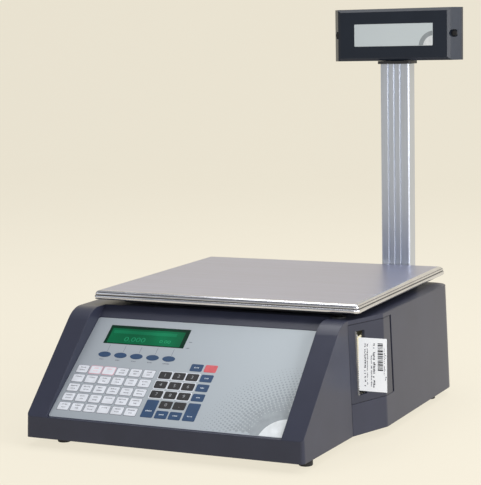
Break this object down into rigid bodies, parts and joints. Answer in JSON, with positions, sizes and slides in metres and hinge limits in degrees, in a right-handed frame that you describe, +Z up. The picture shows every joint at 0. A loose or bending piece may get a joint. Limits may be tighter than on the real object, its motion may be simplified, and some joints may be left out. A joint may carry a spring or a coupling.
{
  "type": "label printing scale",
  "caption": "Counter scale with a stainless pan, sloped membrane keypad, side label printer with a hinged door, and a pole display.",
  "frame": {"origin": "bottom centre of the whole object, on the floor", "axes": "+Z up, -Y towards the operator, +X towards the printer side"},
  "size_m": [0.4024, 0.5184, 0.505],
  "materials": {
    "casing": "fine textured",
    "door": "fine textured",
    "steel": "satin",
    "zinc": "satin",
    "stainless": "brushed",
    "aluminium": "satin",
    "black_metal": "satin",
    "black_plastic": "satin",
    "rubber": "matte",
    "overlay": "satin",
    "glass": "clear",
    "lcd": "gloss",
    "gear": "satin",
    "paper": "matte",
    "backing": "glazed",
    "white_plastic": "satin",
    "pcb": "satin"
  },
  "bodies": {
    "base": {"top_casing": "casing", "base_plate": "steel", "foot_locknuts": "zinc", "keypad_overlay": "overlay", "lcd_window": "glass", "lcd_module": "lcd", "load_cell_fixed_end": "aluminium", "load_cell_block": "steel", "load_cell_bolts": "zinc", "level_housing": "white_plastic", "level_vial": "glass", "printer_chassis": "zinc", "stepper_motor": "zinc", "backing_paper": "backing", "peel_bar": "zinc", "head_pivot_pin": "zinc", "gap_sensor": "black_plastic", "door_pin": "zinc", "rear_panel": "black_metal", "power_inlet": "black_plastic", "data_ports": "zinc", "main_board": "pcb", "power_supply": "zinc", "display_pole": "aluminium", "pole_bracket": "black_metal", "fixing_screws": "zinc", "head_collar": "black_plastic"},
    "platform": {"pan_support": "black_metal", "pan_buffers": "rubber", "load_post": "aluminium", "post_bolts": "zinc", "load_cell_live_end": "aluminium"},
    "pan": {"weighing_pan": "stainless"},
    "platen": {"platen_sleeve": "rubber", "platen_shaft": "zinc", "platen_gear": "gear"},
    "motor_rotor": {"motor_pinion": "gear"},
    "idler": {"idler_gear": "gear"},
    "takeup": {"takeup_gear": "gear", "takeup_spool": "black_plastic", "wound_backing": "backing"},
    "supply": {"supply_hub": "black_plastic", "label_roll": "paper"},
    "head_arm": {"printhead": "aluminium", "head_carrier": "zinc"},
    "release_lever": {"head_lever": "white_plastic"},
    "door": {"printer_door": "door", "tear_bar": "zinc"},
    "label": {"printed_label": "paper"},
    "rocker": {"rocker_switch": "black_plastic"},
    "display_head": {"head_front_shell": "casing", "head_rear_shell": "casing", "head_plate": "overlay", "customer_window": "glass", "customer_display": "lcd", "head_screws": "zinc"},
    "foot_front_left": {"foot_front_left": "rubber"},
    "foot_front_right": {"foot_front_right": "rubber"},
    "foot_rear_left": {"foot_rear_left": "rubber"},
    "foot_rear_right": {"foot_rear_right": "rubber"}
  },
  "joints": [
    {"name": "weigh", "type": "slide", "parent": "base", "child": "platform", "axis": [0, 0, -1], "range_m": [0, 0.0005], "stiffness_N_per_m": 300000, "springref_m": -0.0001},
    {"name": "pan_lift", "type": "slide", "parent": "platform", "child": "pan", "axis": [0, 0, 1], "range_m": [0, 0.06]},
    {"name": "platen_turn", "type": "hinge", "parent": "base", "child": "platen", "pos_m": [0.14727, -0.1048, 0.0475], "axis": [0, 0, 1], "continuous": true},
    {"name": "motor_turn", "type": "hinge", "parent": "base", "child": "motor_rotor", "pos_m": [0.12643, -0.09508, 0.0475], "axis": [0, 0, 1], "continuous": true},
    {"name": "idler_turn", "type": "hinge", "parent": "base", "child": "idler", "pos_m": [0.15032, -0.06993, 0.0475], "axis": [0, 0, 1], "continuous": true},
    {"name": "takeup_turn", "type": "hinge", "parent": "base", "child": "takeup", "pos_m": [0.14087, -0.02901, 0.0475], "axis": [0, 0, 1], "continuous": true},
    {"name": "supply_turn", "type": "hinge", "parent": "base", "child": "supply", "pos_m": [0.07127, -0.07775, 0.0585], "axis": [0, 0, 1], "continuous": true},
    {"name": "head_swing", "type": "hinge", "parent": "base", "child": "head_arm", "pos_m": [0.13877, -0.12675, 0.0585], "axis": [0, 0, -1], "range_deg": [0, 8]},
    {"name": "lever_turn", "type": "hinge", "parent": "base", "child": "release_lever", "pos_m": [0.14127, -0.12175, 0.129], "axis": [0, 0, -1], "range_deg": [0, 64]},
    {"name": "door_swing", "type": "hinge", "parent": "base", "child": "door", "pos_m": [0.17944, -0.04525, 0.0475], "axis": [-0.04, 0, 0.9992], "range_deg": [0, 88]},
    {"name": "label_feed", "type": "slide", "parent": "door", "child": "label", "axis": [1, 0, 0], "range_m": [0, 0.03]},
    {"name": "rocker_turn", "type": "hinge", "parent": "base", "child": "rocker", "pos_m": [-0.12473, 0.18225, 0.0715], "axis": [-1, 0, 0], "range_deg": [0, 14]},
    {"name": "head_swivel", "type": "hinge", "parent": "base", "child": "display_head", "pos_m": [0.09657, 0.2335, 0.436], "axis": [0, 0, 1], "range_deg": [-90, 90]},
    {"name": "foot_front_left_screw", "type": "slide", "parent": "base", "child": "foot_front_left", "axis": [0, 0, -1], "range_m": [0, 0.006]},
    {"name": "foot_front_right_screw", "type": "slide", "parent": "base", "child": "foot_front_right", "axis": [0, 0, -1], "range_m": [0, 0.006]},
    {"name": "foot_rear_left_screw", "type": "slide", "parent": "base", "child": "foot_rear_left", "axis": [0, 0, -1], "range_m": [0, 0.006]},
    {"name": "foot_rear_right_screw", "type": "slide", "parent": "base", "child": "foot_rear_right", "axis": [0, 0, -1], "range_m": [0, 0.006]}
  ],
  "couplings": [
    {"joint": "motor_turn", "follows": "platen_turn", "ratio": -1.875},
    {"joint": "idler_turn", "follows": "platen_turn", "ratio": -0.75},
    {"joint": "takeup_turn", "follows": "platen_turn", "ratio": 0.68182},
    {"joint": "supply_turn", "follows": "platen_turn", "ratio": 0.20231},
    {"joint": "head_swing", "follows": "lever_turn", "ratio": 0.125}
  ]
}
